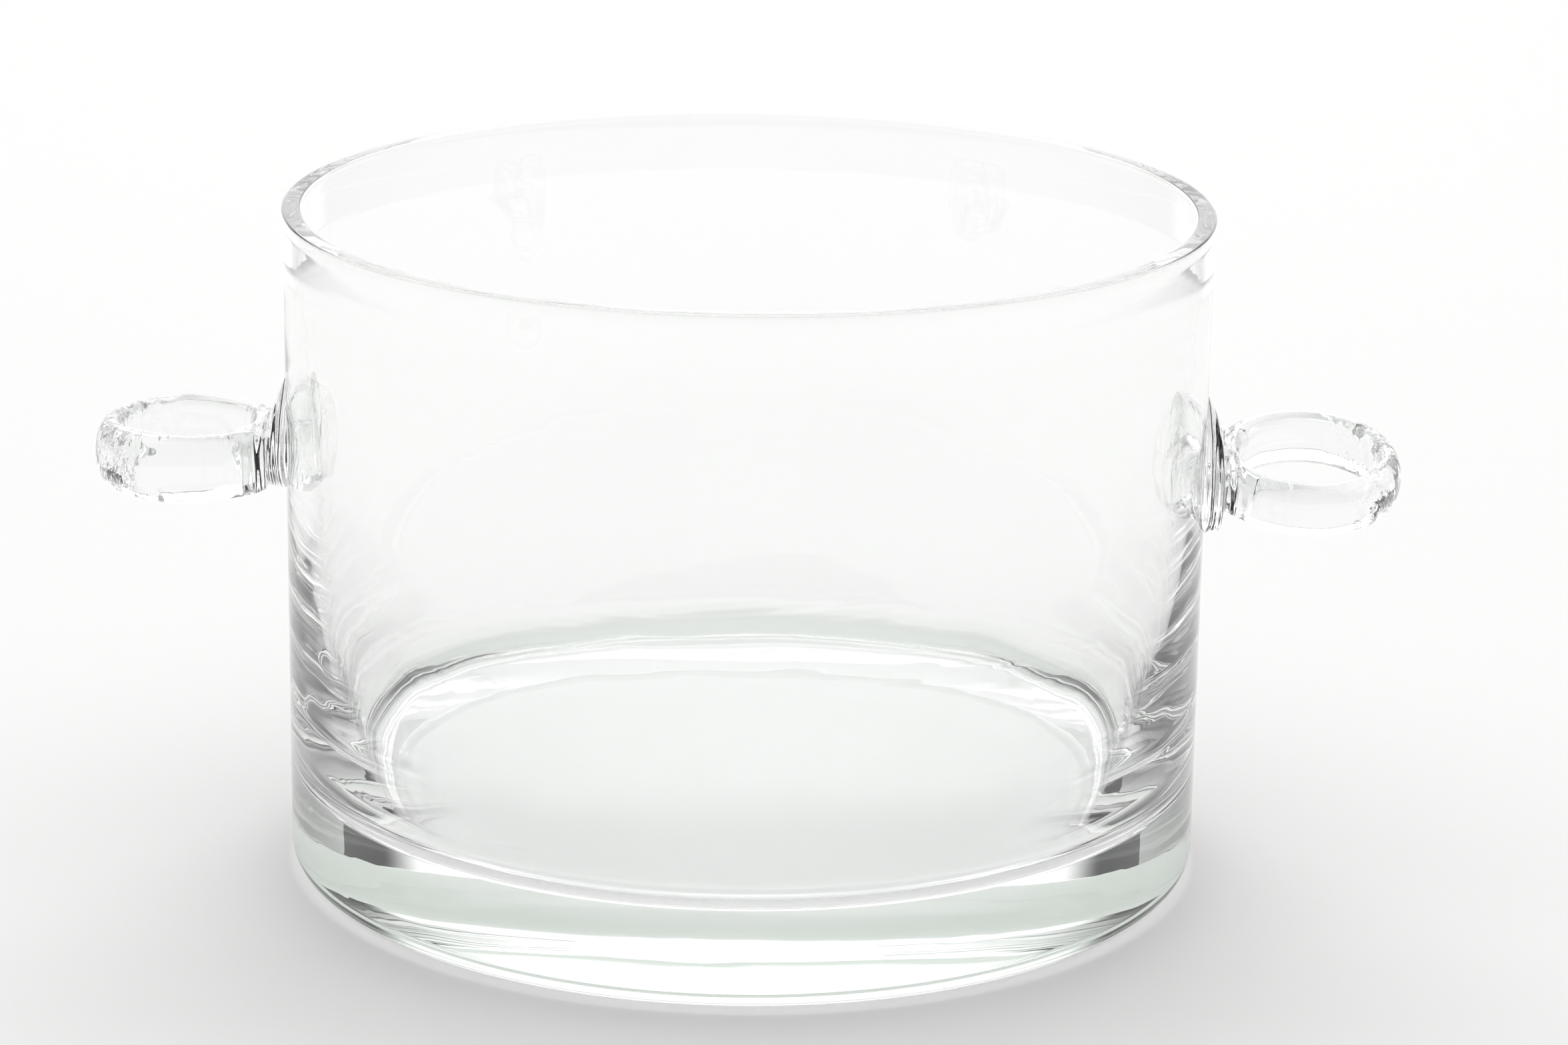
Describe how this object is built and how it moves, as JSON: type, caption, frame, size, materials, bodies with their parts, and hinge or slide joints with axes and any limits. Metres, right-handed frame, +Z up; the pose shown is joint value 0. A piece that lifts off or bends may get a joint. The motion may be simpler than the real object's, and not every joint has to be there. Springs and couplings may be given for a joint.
{
  "type": "handled glass dish",
  "caption": "Straight-sided clear glass dish with a thick solid base, a flat polished rim and an applied ring handle on each side.",
  "frame": {"origin": "centre of the flat underside, on the bowl's own axis", "axes": "+Z up along the bowl's axis, +X towards the right handle, -Y towards a viewer who has the handles at left and right"},
  "size_m": [0.2843, 0.2, 0.146],
  "materials": {
    "bowl_glass": "clear blown glass, fire-polished outside, with a flat ground and polished rim",
    "handle_glass": "clear hand-drawn glass with soft folds where the strap is pressed on"
  },
  "bodies": {
    "root": {"vessel_body": "bowl_glass", "left_handle_pad": "handle_glass", "left_handle_loop": "handle_glass", "right_handle_pad": "handle_glass", "right_handle_loop": "handle_glass"}
  },
  "joints": []
}
